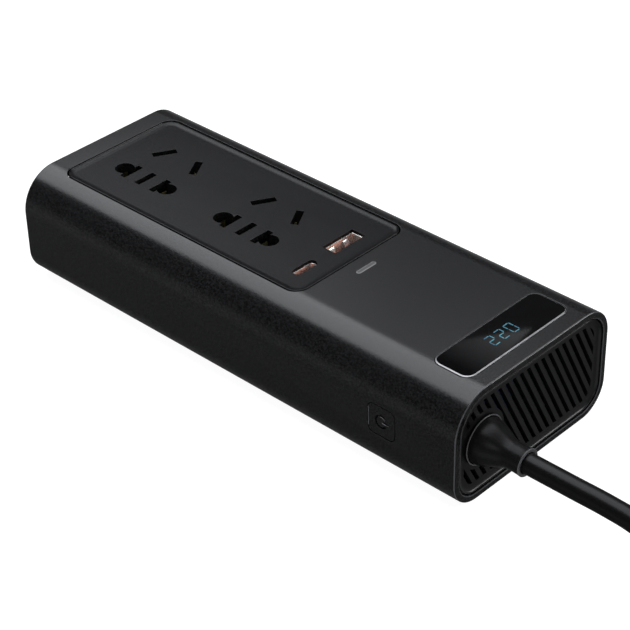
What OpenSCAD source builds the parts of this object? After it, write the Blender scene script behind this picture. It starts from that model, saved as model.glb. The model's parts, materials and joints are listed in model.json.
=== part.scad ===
// Handheld power inverter: a tube-shaped case with two mains outlets and two USB ports on top,
// an air grille at each end, and a vehicle lead that ends in an accessory plug.
// +X runs along the case towards the lead, +Z is up, and the origin is under the case's centre.

/* [Case] */
// Length of the case, end to end
case_l = 170.8; // [168:0.2:180]
// Width of the case
case_w = 64.8; // [64:0.2:70]
// Height of the case without its feet
case_h = 35.4; // [35:0.2:42]
// Thickness of the case wall
wall = 2; // [1.6:0.1:2.2]
// Radius of the upper long edge above the power button
near_corner = 12.5; // [11:0.5:13]
// Radius of the other upper long edge
far_corner = 10.2; // [9:0.1:12]
// Radius of the two lower long edges
low_corner = 9.4; // [9:0.1:11]
// How far the rubber feet stand below the case
foot_h = 0.6; // [0.4:0.1:1]

/* [Grilles] */
// Depth of each grille below the end of the case
grille_recess = 0.7; // [0.5:0.1:1.5]
// Distance between the slanted slots, measured across the case
slot_pitch = 3; // [2.8:0.1:4]
// Width of one slot
slot_w = 1.2; // [0.8:0.1:1.4]
// Lean of the slots from upright, in degrees
slot_lean = 27.5; // [10:0.5:35]

/* [Socket panel] */
// Length of the panel opening
panel_l = 98.9; // [96:0.1:99]
// Width of the panel opening
panel_w = 45.4; // [45:0.1:46]
// Distance between the two outlets
outlet_pitch = 42.6; // [40:0.1:44]
// Width of the two leaning slots
live_slot_w = 2.4; // [2:0.1:2.5]
// Width of the other flat pin slots
pin_slot_w = 2.2; // [2:0.1:2.3]

/* [Front fittings] */
// Side of the square power button
button_size = 9.4; // [8:0.2:9.8]
// Travel of the power button
button_travel = 0.8; // [0.4:0.1:0.8]
// Width of the display across the case
display_w = 43.2; // [40:0.2:44]
// Length of the display along the case
display_l = 13; // [12:0.2:13.4]

/* [Vehicle lead] */
// Diameter of the lead
cord_d = 6; // [5.5:0.1:6]
// Radius of the coil's outer turn
coil_r = 33; // [32:0.5:34]

/* [Plug] */
// Diameter of the plug's barrel
barrel_d = 20.4; // [20:0.1:20.6]
// Travel of the plug's centre contact
tip_travel = 2; // [1:0.25:2]
// Travel of the plug's side contacts
side_travel = 0.8; // [0.4:0.1:0.8]

/* [Hidden] */
$fn = 64;
gap = 0.1;
half_l = case_l / 2;
half_w = case_w / 2;
case_top = foot_h + case_h;
mid_z = foot_h + case_h / 2;
floor_z = foot_h + wall;
roof_z = case_top - wall;

// Grille plates
plate_t = 2;
grille_x = half_l - grille_recess;
plate_back = grille_x - plate_t;
skirt_t = 1.4;
skirt_l = 2.2;
slot_margin = 3;

// Cord exit
exit_y = -20;
neck_r = 5;
flange_r = 7.4;
collar_r = 4.3;
collar_end = half_l + 14;
collar_bore_r = cord_d / 2 + 0.3;
collar_bore_l = 4;

// Socket panel
panel_x = -29.05;
panel_y = 0.35;
panel_r = 4.5;
panel_gap = 0.2;
panel_rim_z = case_top - 0.3;
panel_face_z = panel_rim_z - 0.3;
panel_low_z = panel_face_z - 2.8;
panel_rim_w = 1.5;
seat_inset = 2.5;
seat_low_z = roof_z - 3;

// Outlets: hole centres are measured from each outlet's centre
outlets = [-14.95 - outlet_pitch, -14.95];
outlet_y = 3.25;
live_r = 7.92;
live_x = live_r * sin(60);
live_y = live_r * cos(60);
low_row_y = -10.3;
flat_x = 6.35;
round_x = 9.3;
round_r = 3;
base_top_z = panel_low_z - gap;
base_low_z = 16.5;
well_z = base_low_z + 2;
leaf_t = 0.5;
leaf_w = 7;
leaf_top_z = base_top_z - 1;

// USB ports
usb_a = [10.65, 6.85];
usb_c = [11.65, -10.4];
usb_board_z = 17;
usb_board_t = 1.6;
usb_floor_z = usb_board_z + usb_board_t;
usb_posts = [[4.3, -2.7], [14, -2.7]];

// Indicator
lamp = [25.15, 0.3];
lamp_l = 7.6;
lamp_w = 1.5;

// Display
display_x = 73.6;
display_y = 0.3;
display_r = 3.1;
display_depth = 1.2;
trim_w = 0.4;
digit_h = 4;
digit_w = 2.3;
digit_pitch = 4;
stroke = 0.4;

// Main board
board_z = 6;
board_t = 1.6;
board_top = board_z + board_t;
board_x0 = -69;
board_x1 = 78;
board_w = 54.6;
posts = [[-64, -21], [-64, 21], [70, -14], [60, 21]];
core_x = [31, 59];
core_y = [-6, 5];
winding_z = mid_z;
choke = [6.5, 1, board_top];

// Button
button_x = 59.9;
button_r = 1.9;
button_out_y = -half_w + 0.05;
button_flange_y = -half_w + wall + 0.1;
stem_y = -27;
plunger_l = 2;

// Fan
fan_size = 25;
fan_t = 8;
fan_x1 = -plate_back + skirt_l + fan_t;
fan_x0 = fan_x1 - fan_t;
fan_hole = 10;
shaft_r = 1;

// Lead and coil: the coil lies on the tie's band, so it is a little above the floor
coil_x = 195;
coil_y = 3;
tie_t = 0.5;
coil_z = cord_d / 2 + tie_t + 0.1;
inner_turn_r = coil_r - cord_d;
upper_turn_r = coil_r - cord_d / 2;
coil_top = 12.8;
case_route = [
  [95.4, -20, 18.3], [105, -20, 18.3], [115, -20, 18.3], [125, -20, 18.3], [134, -20.2, 17.8],
  [143, -21, 16.1], [151.5, -22.5, 13.3], [160, -24.6, 9.8], [168, -26.8, 6.7], [176, -28.6, 4.7],
  [184, -29.8, 3.8], [195, -30, 3.6]
];
plug_route = [
  [195, -27, 8.9], [202, -27, 9.4], [209, -27, 10.2], [216, -27, 11.1], [222, -27, 11.8],
  [228, -27, 12], [231, -27, 12]
];

// Plug: distances run along X from the cord end of its boot
plug_x = 228;
plug_y = -27;
plug_z = 12;
boot_l = 18;
grip_r = 12;
grip_x1 = 46;
barrel_x1 = 80;
nose_x1 = 88;
tip_back = nose_x1 - 5;
fuse_l = 30;
barrel_r = barrel_d / 2;
barrel_wall = 2;
spring_turns = 6;
spring_r = 2.8;
spring_wire_r = 0.4;

// ---------- Helpers ----------

// Closed block between two opposite corners
module block(low, high) {
  translate(low) cube(high - low);
}

// Flat shape in Y and Z, extruded along X
module along_x(x0, x1) {
  translate([x0, 0, 0]) rotate([90, 0, 90]) linear_extrude(x1 - x0) children();
}

// Flat shape in X and Z, extruded along Y
module along_y(y0, y1) {
  translate([0, y1, 0]) rotate([90, 0, 0]) linear_extrude(y1 - y0) children();
}

// Flat shape in X and Y, extruded upwards
module along_z(z0, z1) {
  translate([0, 0, z0]) linear_extrude(z1 - z0) children();
}

// Round bar along X
module bar_x(x0, x1, r, y = 0, z = 0) {
  translate([x0, y, z]) rotate([0, 90, 0]) cylinder(r = r, h = x1 - x0);
}

// Profile of [radius, distance] points turned about X
module turned_x(x0, y, z) {
  translate([x0, y, z]) rotate([0, 90, 0]) rotate_extrude() children();
}

module rounded_rect(size, r) {
  square([size.x - 2 * r, size.y], center = true);
  square([size.x, size.y - 2 * r], center = true);
  for (sx = [-1, 1], sy = [-1, 1])
    translate([sx * (size.x / 2 - r), sy * (size.y / 2 - r)]) circle(r);
}

// Slot with round ends, long in Y
module stadium(length, width) {
  square([width, length - width], center = true);
  for (side = [-1, 1]) translate([0, side * (length - width) / 2]) circle(width / 2);
}

// Cross-section of the case in Y and Z, moved inwards
module case_outline(inset = 0) {
  side = half_w - inset;
  low = foot_h + inset;
  top = case_top - inset;
  for (s = [-1, 1])
    translate([s * (half_w - low_corner), foot_h + low_corner]) circle(low_corner - inset);
  translate([near_corner - half_w, case_top - near_corner]) circle(near_corner - inset);
  translate([half_w - far_corner, case_top - far_corner]) circle(far_corner - inset);
  polygon([
    [low_corner - half_w, low], [half_w - low_corner, low],
    [side, foot_h + low_corner], [side, case_top - far_corner],
    [half_w - far_corner, top], [near_corner - half_w, top],
    [-side, case_top - near_corner], [-side, foot_h + low_corner]
  ]);
}

function unit(v) = v / norm(v);
function heading(path, i) = unit(path[min(i + 1, len(path) - 1)] - path[max(i - 1, 0)]);
function ring(path, i, r, sides, ref) =
  let(u = unit(cross(heading(path, i), ref)), v = cross(u, heading(path, i)))
  [for (k = [0:sides - 1]) path[i] + r * (cos(360 * k / sides) * u + sin(360 * k / sides) * v)];

// Tube along a list of points; ref is a direction that the path never takes
module sweep(path, r, sides, ref = [0, 0, 1]) {
  last = (len(path) - 1) * sides;
  points = [for (i = [0:len(path) - 1]) each ring(path, i, r, sides, ref)];
  walls = [
    for (i = [0:len(path) - 2], k = [0:sides - 1])
      let(a = i * sides + k, b = i * sides + (k + 1) % sides)
      each [[a, b, b + sides], [a, b + sides, a + sides]]
  ];
  ends = [[for (k = [sides - 1:-1:0]) k], [for (k = [0:sides - 1]) last + k]];
  polyhedron(points, concat(walls, ends));
}

// ---------- Case ----------

module panel_opening(inset = 0) {
  translate([panel_x, panel_y])
    rounded_rect([panel_l - 2 * inset, panel_w - 2 * inset], panel_r - min(inset, panel_r - 1));
}

module display_area(inset = 0) {
  translate([display_x, display_y])
    rounded_rect([display_l - 2 * inset, display_w - 2 * inset], display_r - inset);
}

module foot_places() {
  for (sx = [-1, 1], sy = [-1, 1]) translate([sx * 70, sy * 17, 0]) children();
}

module housing() color("#232325") {
  foot_recess = 0.6;
  post_r = 3;
  difference() {
    union() {
      difference() {
        along_x(-half_l, half_l) case_outline();
        along_x(-half_l - 1, half_l + 1) case_outline(wall);
      }
      intersection() {
        along_x(-half_l + 5.2, half_l - 30) case_outline(wall / 2);
        along_z(seat_low_z, case_top) panel_opening(-2);
      }
      for (p = posts) translate(p) along_z(floor_z - 0.5, board_z) circle(post_r);
    }
    along_z(panel_low_z, case_top + 1) panel_opening();
    along_z(seat_low_z - 1, case_top) panel_opening(seat_inset);
    along_z(roof_z - 1, case_top + 1) translate(lamp) stadium(lamp_l + 0.2, lamp_w + 0.2);
    along_z(case_top - display_depth, case_top + 1) display_area(-gap);
    along_z(roof_z - 1, case_top) display_area(2.2);
    along_y(-half_w - 1, -half_w + wall + 1) translate([button_x, mid_z])
      rounded_rect([button_size + 0.4, button_size + 0.4], button_r + 0.2);
    foot_places() translate([0, 0, foot_h - 1]) cylinder(r = 4.6, h = foot_recess + 1);
    for (p = posts) translate([p.x, p.y, floor_z]) cylinder(r = 1.1, h = board_z);
  }
}

// Slanted slots inside the plate's border, in Y and Z
module slots() {
  rows = ceil(half_w / slot_pitch) + 3;
  intersection() {
    case_outline(wall + slot_margin);
    for (i = [-rows:rows])
      translate([2 + i * slot_pitch, mid_z]) rotate(slot_lean) square([slot_w, 2 * case_h], center = true);
  }
}

// Grille of the +X end, with a solid pad of the given radius at each place
module grille(pads, pad_r) {
  difference() {
    union() {
      along_x(plate_back, grille_x) case_outline(wall + gap);
      along_x(plate_back - skirt_l, plate_back) difference() {
        case_outline(wall + gap);
        case_outline(wall + gap + skirt_t);
      }
    }
    along_x(plate_back - 1, grille_x + 1) difference() {
      slots();
      for (p = pads) translate(p) circle(pad_r);
    }
  }
}

module front_grille() color("#2b2b2d") difference() {
  grille([[exit_y, mid_z]], flange_r + 1.5);
  bar_x(plate_back - 1, grille_x + 1, neck_r + gap, exit_y, mid_z);
}

module rear_grille() color("#2b2b2d") mirror([1, 0, 0]) {
  screw_spots = [for (sy = [-1, 1], sz = [-1, 1]) [sy * fan_hole, mid_z + sz * fan_hole]];
  post_r = 2.4;
  pilot_r = 0.9;
  difference() {
    union() {
      grille(screw_spots, post_r);
      for (p = screw_spots) bar_x(plate_back - skirt_l, plate_back + 0.5, post_r, p.x, p.y);
    }
    for (p = screw_spots) bar_x(plate_back - skirt_l - 1, plate_back + 0.5, pilot_r, p.x, p.y);
  }
}

module rubber_feet() color("#1a1a1a") foot_places() cylinder(r = 4.5, h = 1.2);

// ---------- Socket panel and outlets ----------

module live_slot(length, width) {
  for (side = [-1, 1])
    translate([side * live_x, live_y]) rotate(side * -60) square([length, width], center = true);
}

// Slot for a flat pin with a round lobe beside it for a round pin
module combined_slot() {
  translate([flat_x, low_row_y]) square([pin_slot_w, 7.6], center = true);
  translate([round_x, low_row_y]) circle(round_r);
  translate([flat_x, low_row_y - 2]) square([round_x - flat_x, 4]);
}

module outlet_holes() {
  live_slot(7.6, live_slot_w);
  translate([0, low_row_y]) square([pin_slot_w, 7.4], center = true);
  for (side = [0, 1]) mirror([side, 0]) combined_slot();
}

module screw_hole(z0, z1, r) {
  translate([0, 4.5, z0]) cylinder(r = r, h = z1 - z0);
}

module socket_panel() color("#29292b") {
  hook_x = [-66, -36, -21, 0];
  hook_y = panel_w / 2 - seat_inset - 0.3;
  difference() {
    union() {
      along_z(panel_low_z, panel_rim_z) panel_opening(panel_gap);
      for (p = usb_posts) translate(p) along_z(usb_floor_z, panel_low_z + 1) circle(2.2);
      for (x = hook_x, side = [0, 1]) translate([x, panel_y, 0]) mirror([0, side, 0]) {
        block([-3, hook_y - 1.2, seat_low_z - 1.4], [3, hook_y, panel_low_z + 1]);
        block([-3, hook_y - 0.5, seat_low_z - 1.4], [3, hook_y + 1.2, seat_low_z - 0.2]);
      }
    }
    along_z(panel_face_z, case_top + 1) panel_opening(panel_gap + panel_rim_w);
    for (x = outlets) translate([x, outlet_y, 0]) {
      along_z(panel_low_z - 1, case_top) outlet_holes();
      screw_hole(panel_low_z - 1, panel_face_z - 0.8, 1);
    }
    along_z(panel_low_z - 1, case_top) {
      translate(usb_a) square([5.1, 12.6], center = true);
      translate(usb_c) stadium(8.9, 3.1);
    }
    for (p = usb_posts) translate([p.x, p.y, usb_floor_z - 1]) cylinder(r = 0.9, h = 8);
  }
}

// Room for the contacts of one outlet
module contact_wells() {
  well_h = base_top_z - well_z + 1;
  channel_h = 3.4;
  translate([0, 0, well_z]) {
    linear_extrude(well_h) {
      live_slot(7.8, 3.8);
      translate([0, low_row_y]) square([4, 7.8], center = true);
      for (side = [-1, 1]) translate([side * 8.7, low_row_y]) square([8.6, 7.8], center = true);
    }
    linear_extrude(channel_h) for (side = [-1, 1])
      translate([side * 8.3 - 2.3, low_row_y]) square([4.6, 14]);
  }
  translate([0, 0, base_low_z - 1]) linear_extrude(4) {
    translate([0, low_row_y]) square([2.6, 1.2], center = true);
    for (side = [-1, 1]) translate([side * 8.3, -3]) square([2.6, 1.2], center = true);
  }
}

module socket_base(x) color("#d8d4c8") translate([x, outlet_y, 0]) difference() {
  head_z = 28;
  block([-14.3, -16, base_low_z], [14.3, 9.6, base_top_z]);
  contact_wells();
  screw_hole(base_low_z - 1, base_top_z + 1, 1.25);
  screw_hole(base_low_z - 1, head_z, 2.5);
}

// Brass clip for one pole: it grips the pins of both rows, and its tail goes down to the board
module pole_contact(x, side) color("#b08d3c")
translate([x, outlet_y, 0]) mirror([side < 0 ? 1 : 0, 0, 0]) {
  strip_t = 0.5;
  strip_z = well_z + gap;
  for (lx = [4.6, 12.3])
    block([lx, low_row_y - leaf_w / 2, strip_z], [lx + leaf_t, low_row_y + leaf_w / 2, leaf_top_z]);
  block([4.6, low_row_y - leaf_w / 2, strip_z], [12.8, low_row_y + leaf_w / 2, strip_z + strip_t]);
  block([6.3, low_row_y, strip_z], [10.3, 1.2, strip_z + strip_t]);
  translate([live_x, live_y, 0]) rotate(-60) {
    for (ly = [-1.55, 1.05]) block([-leaf_w / 2, ly, strip_z], [leaf_w / 2, ly + leaf_t, leaf_top_z]);
    block([-leaf_w / 2, -1.55, strip_z], [leaf_w / 2, 1.55, strip_z + strip_t]);
  }
  block([7.3, -3.25, board_top], [9.3, -2.75, strip_z + strip_t]);
}

module earth_contact(x) color("#b08d3c") translate([x, outlet_y + low_row_y, 0]) {
  strip_z = well_z + gap;
  for (side = [0, 1]) mirror([side, 0, 0])
    block([1.2, -leaf_w / 2, strip_z], [1.2 + leaf_t, leaf_w / 2, leaf_top_z]);
  block([-1.7, -leaf_w / 2, strip_z], [1.7, leaf_w / 2, strip_z + 0.5]);
  block([-1, -0.25, board_top], [1, 0.25, strip_z + 0.5]);
}

module screw_z(head_z, length, head_r, r) {
  head_h = 1.4;
  translate([0, 0, head_z - head_h]) cylinder(r = head_r, h = head_h);
  translate([0, 0, head_z - gap]) cylinder(r = r, h = length);
}

module base_screws() color("silver")
  for (x = outlets) translate([x, outlet_y + 4.5, 0]) screw_z(27.9, 6, 2.2, 0.95);

// ---------- USB ports and indicator ----------

module usb_a_shell() color("silver") along_z(usb_floor_z, panel_low_z - gap) translate(usb_a) difference() {
  square([5.72, 13.14], center = true);
  square([5.12, 12.54], center = true);
}

module usb_a_tongue() color("#d9785a") translate([usb_a.x, usb_a.y, 0]) {
  block([-2.4, -6.1, usb_floor_z], [2.4, 6.1, usb_floor_z + 2]);
  block([-1.9, -5.55, usb_floor_z], [-0.1, 5.55, panel_low_z - 2]);
}

module usb_c_shell() color("silver") along_z(usb_floor_z, panel_low_z - gap) translate(usb_c) difference() {
  stadium(8.94, 3.2);
  stadium(8.4, 2.6);
}

module usb_c_tongue() color("#d9785a") translate([usb_c.x, usb_c.y, 0]) {
  along_z(usb_floor_z, usb_floor_z + 2) stadium(8.2, 2.4);
  block([-0.35, -3.35, usb_floor_z], [0.35, 3.35, panel_low_z - 1.5]);
}

module usb_board() color("#1f5c3a") difference() {
  block([3, -18.5, usb_board_z], [27, 15.5, usb_floor_z]);
  for (p = usb_posts) translate([p.x, p.y, usb_board_z - 1]) cylinder(r = 1.1, h = 4);
}

module indicator_lens() color("#b8bcc0") translate([lamp.x, lamp.y, 0]) {
  along_z(roof_z - 1.2, roof_z - gap) stadium(10, 3.6);
  along_z(roof_z - 1.2, case_top) stadium(lamp_l, lamp_w);
  translate([0, 0, usb_floor_z + 1.4]) cylinder(r = 1.2, h = roof_z - usb_floor_z - 2);
}

module indicator_led() color("#e8e4d0") translate([lamp.x, lamp.y, 0])
  block([-0.8, -1.6, usb_floor_z], [0.8, 1.6, usb_floor_z + 1.3]);

// ---------- Display ----------

module display_trim() color("silver") along_z(case_top - display_depth, case_top) difference() {
  display_area();
  display_area(trim_w);
}

// Strokes of a seven-segment figure: top, top right, low right, bottom, low left, top left, middle
function lit(figure) = ["1111110", "0110000", "1101101"][figure];

// One figure, upright towards -X, centred on its own origin
module figure(value) {
  hw = digit_w / 2;
  hh = digit_h / 2;
  along = [hh - stroke * 1.2, stroke];
  across = [stroke, digit_w - stroke * 1.4];
  strokes = [
    [-hh, 0, across], [-hh / 2, hw, along], [hh / 2, hw, along], [hh, 0, across],
    [hh / 2, -hw, along], [-hh / 2, -hw, along], [0, 0, across]
  ];
  for (i = [0:6])
    if (lit(value)[i] == "1")
      translate([strokes[i][0], strokes[i][1]]) square(strokes[i][2], center = true);
}

module figures() {
  values = [2, 2, 0];
  for (i = [0:2]) translate([display_x, display_y + (i - 1) * digit_pitch]) figure(values[i]);
}

module display_window() color("#0b0b0c") difference() {
  along_z(case_top - display_depth, case_top) display_area(trim_w + 0.05);
  along_z(case_top - 0.4, case_top + 1) figures();
}

module display_digits() color("#7fe3ff") along_z(case_top - 0.4, case_top) figures();

module display_board() color("#1f5c3a") translate([display_x, display_y, 0]) {
  block([-4, -18, roof_z - 2.9], [4, 18, case_top - display_depth - gap]);
  block([-6.4, -20, roof_z - 4.1], [6.4, 20, roof_z - 2.9]);
}

// ---------- Power button ----------

// Ring with a gap and a bar, turned to face +X
module power_mark() {
  difference() {
    circle(2.1);
    circle(1.6);
    square([3, 1.6]);
    mirror([0, 1]) square([3, 1.6]);
  }
  translate([0.6, -0.25]) square([2, 0.5]);
}

module power_button() color("#242426") difference() {
  translate([button_x, 0, mid_z]) {
    along_y(button_out_y, button_flange_y + gap) rounded_rect([button_size, button_size], button_r);
    along_y(button_flange_y, button_flange_y + 1) rounded_rect([button_size + 2, button_size + 2], button_r);
    along_y(button_flange_y, stem_y) square([3, 3], center = true);
  }
  translate([button_x, 0, mid_z]) along_y(button_out_y - 1, button_out_y + 0.25) power_mark();
}

module switch_plunger() color("#d8d4c8") translate([button_x, stem_y + plunger_l, mid_z])
  rotate([90, 0, 0]) cylinder(r = 1.75, h = plunger_l);

module tact_switch() color("#333333") translate([button_x, stem_y + 1, mid_z]) difference() {
  block([-3, 0, -3], [3, 3.5, 3]);
  translate([0, 2.2, 0]) rotate([90, 0, 0]) cylinder(r = 1.8, h = 3);
}

module switch_board() color("#1f5c3a")
  block([button_x - 8, stem_y + 4.5, board_top], [button_x + 8, stem_y + 6.1, mid_z + 8]);

// ---------- Electronics ----------

module main_board() color("#1f5c3a") difference() {
  block([board_x0, -board_w / 2, board_z], [board_x1, board_w / 2, board_top]);
  for (p = posts) translate([p.x, p.y, board_z - 1]) cylinder(r = 1.3, h = 4);
}

module board_screws() color("silver") {
  for (p = posts) translate([p.x, p.y, board_top]) mirror([0, 0, 1]) screw_z(gap - 0.1, 5, 2, 0.95);
  for (p = usb_posts) translate([p.x, p.y, 0]) screw_z(usb_board_z, 6, 1.9, 0.85);
}

module transformer_core() color("#3a3a3a") difference() {
  block([core_x[0], core_y[0], board_top], [core_x[1], core_y[1], 29]);
  for (side = [0, 1]) translate([0, 0, winding_z]) mirror([0, 0, side])
    block([core_x[0] + 5, core_y[0] - 1, 3], [core_x[1] - 5, core_y[1] + 1, 8]);
}

module transformer_bobbin() color("#d8d4c8") difference() {
  union() {
    block([36.1, core_y[0] - 1.2, winding_z - 4.2], [53.9, core_y[1] + 1.2, winding_z + 4.2]);
    for (x = [36.1, 52.9])
      block([x, core_y[0] - 5, winding_z - 7.9], [x + 1, core_y[1] + 5, winding_z + 7.9]);
  }
  block([30, core_y[0] - gap, winding_z - 3.1], [60, core_y[1] + gap, winding_z + 3.1]);
}

module transformer_winding() color("#c8a83c") difference() {
  block([37.2, core_y[0] - 4.8, winding_z - 7.7], [52.8, core_y[1] + 4.8, winding_z + 7.7]);
  block([37, core_y[0] - 1.3, winding_z - 4.3], [53, core_y[1] + 1.3, winding_z + 4.3]);
}

module choke_core() color("#4a4a4a") translate(choke) translate([0, 0, 1]) rotate_extrude()
  translate([5.5, 0]) square([4, 6]);

module choke_winding() color("#b5651d") translate(choke) difference() {
  rotate_extrude() translate([4.4, 0]) square([6.2, 8]);
  rotate_extrude() translate([5.4, 0.9]) square([4.2, 6.2]);
  for (a = [0, 180]) rotate(a) translate([0, -1.2, -1]) cube([12, 2.4, 10]);
}

module electrolytic_capacitors() color("#26406b") {
  for (y = [-6, 6]) translate([68, y, board_top]) cylinder(r = 4.5, h = 17);
  translate([-35.75, 2, board_top]) cylinder(r = 6, h = 22);
}

module filter_capacitor() color("#c8b040") block([-31, -24, board_top], [-13, -16, board_top + 7.5]);

// Aluminium block with upright fins; the fins point towards +Y
module heat_sink(x0, x1, y0, h) color("silver") difference() {
  fins = 7;
  pitch = (x1 - x0) / fins;
  block([x0, y0, board_top], [x1, y0 + 6.5, board_top + h]);
  for (i = [0:fins - 1]) translate([x0 + i * pitch, y0, board_top])
    block([0.4 * pitch, 2, -1], [pitch - 0.6, 8, h + 1]);
}

module heat_sink_a() heat_sink(31, 55, 17, 17);
module heat_sink_b() mirror([0, 1, 0]) heat_sink(27, 48, 19.5, 13);

module power_transistors() color("#2a2a2a") {
  for (x = [33, 44.5]) block([x, 12.3, board_top + 2], [x + 9.5, 16.9, board_top + 15]);
  for (x = [27.5, 38]) block([x, -19.4, board_top + 2], [x + 9.5, -15, board_top + 13]);
}

module control_chip() color("#2a2a2a") block([-8, 15, board_top], [4, 23, board_top + 1.6]);

// ---------- Fan ----------

module fan_screw_places() {
  for (sy = [-1, 1], sz = [-1, 1]) translate([0, sy * fan_hole, mid_z + sz * fan_hole]) children();
}

module fan_frame() color("#1c1c1c") {
  duct_r = 11.8;
  hub_r = 6;
  back_t = 1.4;
  difference() {
    along_x(fan_x0 + gap, fan_x1) difference() {
      translate([0, mid_z]) rounded_rect([fan_size, fan_size], 2);
      translate([0, mid_z]) circle(duct_r);
    }
    fan_screw_places() bar_x(fan_x0 - 1, fan_x1 + 1, 1.2);
    fan_screw_places() bar_x(fan_x1 - 1.6, fan_x1 + 1, 2.1);
  }
  difference() {
    union() {
      bar_x(fan_x1 - back_t, fan_x1, hub_r, 0, mid_z);
      bar_x(fan_x1 - 5, fan_x1, 2.4, 0, mid_z);
      for (a = [45:90:315]) translate([0, 0, mid_z]) rotate([a, 0, 0])
        block([fan_x1 - back_t, -0.8, 4], [fan_x1, 0.8, 12]);
    }
    bar_x(fan_x1 - 6, fan_x1 - 0.5, shaft_r + 0.05, 0, mid_z);
  }
}

module fan_rotor() color("#303030") translate([fan_x0, 0, mid_z]) {
  blades = 7;
  hub_r = 6.5;
  cup_l = 5.8;
  difference() {
    bar_x(0.6, cup_l, hub_r);
    bar_x(1.6, cup_l + 1, hub_r - 1);
  }
  bar_x(0.6, fan_t - 0.8, shaft_r);
  intersection() {
    bar_x(0.4, cup_l + 0.2, 11.3);
    difference() {
      for (i = [0:blades - 1]) rotate([i * 360 / blades, 0, 0]) translate([cup_l / 2 + 0.3, 0, 9])
        rotate([0, 0, 38]) cube([7.5, 0.8, 6], center = true);
      bar_x(0, cup_l + 1, hub_r - 0.5);
    }
  }
}

module fan_screws() color("silver") fan_screw_places() {
  bar_x(fan_x1 - 1.5, fan_x1 - 0.3, 1.9);
  bar_x(fan_x0 - skirt_l + 0.3, fan_x1 - 0.4, 0.85);
}

// ---------- Strain relief and vehicle lead ----------

module strain_relief() color("#1d1d1f") {
  bell_l = 9;
  lip_l = 1.2;
  bell = [
    for (i = [0:12])
      [collar_r + (flange_r - collar_r) * pow((1 + cos(15 * i)) / 2, 0.8), 0.9 + bell_l * i / 12]
  ];
  end = collar_end - grille_x;
  turned_x(grille_x, exit_y, mid_z) polygon(concat(
    [[0, -plate_t - 1.8], [flange_r - 0.6, -plate_t - 1.8], [flange_r - 0.6, -plate_t], [neck_r, -plate_t],
     [neck_r, 0], [flange_r, 0]],
    bell,
    [[collar_r, end - lip_l], [collar_r + 0.2, end - lip_l + 0.3], [collar_r + 0.2, end],
     [collar_bore_r, end], [collar_bore_r, end - collar_bore_l], [0, end - collar_bore_l]]
  ));
}

// Wire from the strain relief down to the board, with one round bend
module lead(y) {
  r = 1.1;
  bend_r = 4;
  end_x = plate_back - 1.8;
  bend_x = end_x - 2.5;
  translate([0, y, 0]) {
    bar_x(bend_x, end_x, r, 0, mid_z);
    translate([bend_x, 0, mid_z - bend_r]) rotate([90, 0, 0]) rotate(90)
      rotate_extrude(angle = 90) translate([bend_r, 0]) circle(r);
    translate([bend_x - bend_r, 0, board_top]) cylinder(r = r, h = mid_z - bend_r - board_top);
  }
}

module positive_lead() color("#b02020") lead(exit_y + 1.8);
module negative_lead() color("#222222") lead(exit_y - 1.8);

module cord_case_side() color("#1b1b1c") sweep(case_route, cord_d / 2, 12);
module cord_plug_side() color("#1b1b1c") sweep(plug_route, cord_d / 2, 12);

// Outline of the coil's turns, as radius and height: two side by side and one on top of them
module coil_section(grow = 0) {
  r = cord_d / 2;
  low = tie_t + 0.1 - grow;
  inner = inner_turn_r - r - grow;
  outer = coil_r + r + grow;
  polygon([
    [inner, low], [outer, low], [outer, coil_z + r], [upper_turn_r + r + grow, coil_top + grow],
    [upper_turn_r - r - grow, coil_top + grow], [inner, coil_z + r]
  ]);
}

module cord_coil() color("#1b1b1c") translate([coil_x, coil_y, 0]) rotate_extrude() coil_section();

// Band round the three turns
module cord_tie() color("#2a2a2a") {
  band_angle = 18;
  translate([coil_x, coil_y, 0]) rotate(90 - band_angle / 2) rotate_extrude(angle = band_angle)
    difference() {
      coil_section(tie_t + 0.1);
      coil_section(0.05);
    }
}

// ---------- Accessory plug ----------

module plug_boot() color("#1d1d1f") turned_x(plug_x, plug_y, plug_z) polygon([
  [cord_d / 2 + 0.1, 0], [4.4, 0], [4.8, 1], [6.8, boot_l], [5, boot_l], [5, boot_l + 4],
  [0, boot_l + 4], [0, 3], [cord_d / 2 + 0.1, 3]
]);

module side_place(side) {
  translate([plug_x, plug_y, plug_z]) mirror([0, side, 0]) children();
}

module plug_shell() color("#222224") difference() {
  inner = barrel_r - barrel_wall;
  bore_x0 = boot_l + 4;
  turned_x(plug_x, plug_y, plug_z) polygon(concat(
    [[5.05, boot_l], [grip_r - 2, boot_l]],
    [for (a = [0:15:90]) [grip_r - 2 + 2 * sin(a), boot_l + 2 - 2 * cos(a)]],
    [[grip_r, grip_x1 - 1], [grip_r - 1, grip_x1], [barrel_r, grip_x1], [barrel_r, barrel_x1],
     [inner, barrel_x1], [inner, bore_x0], [5.05, bore_x0]]
  ));
  for (side = [0, 1]) side_place(side) block([grip_x1 + 5, 5, -2.6], [grip_x1 + 27, 12, 2.6]);
}

module plug_nose() color("#2c2c2e") {
  thread_r = barrel_r - barrel_wall - 0.1;
  cavity_r = 5.4;
  tip_hole_r = 3.3;
  turned_x(plug_x, plug_y, plug_z) polygon([
    [cavity_r, barrel_x1 - 5], [thread_r, barrel_x1 - 5], [thread_r, barrel_x1], [barrel_r, barrel_x1],
    [barrel_r, barrel_x1 + 2], [7, nose_x1], [tip_hole_r, nose_x1], [tip_hole_r, nose_x1 - 2.4],
    [cavity_r, nose_x1 - 2.4]
  ]);
}

// Centre contact, held in the nose by its collar
module plug_tip() color("#c9a24a") turned_x(plug_x, plug_y, plug_z) polygon([
  [0, tip_back], [5, tip_back], [5, nose_x1 - 2.6], [3.2, nose_x1 - 2.6], [3.2, nose_x1 + 1.6],
  [2.2, nose_x1 + 2.8], [0, nose_x1 + 2.8]
]);

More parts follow.
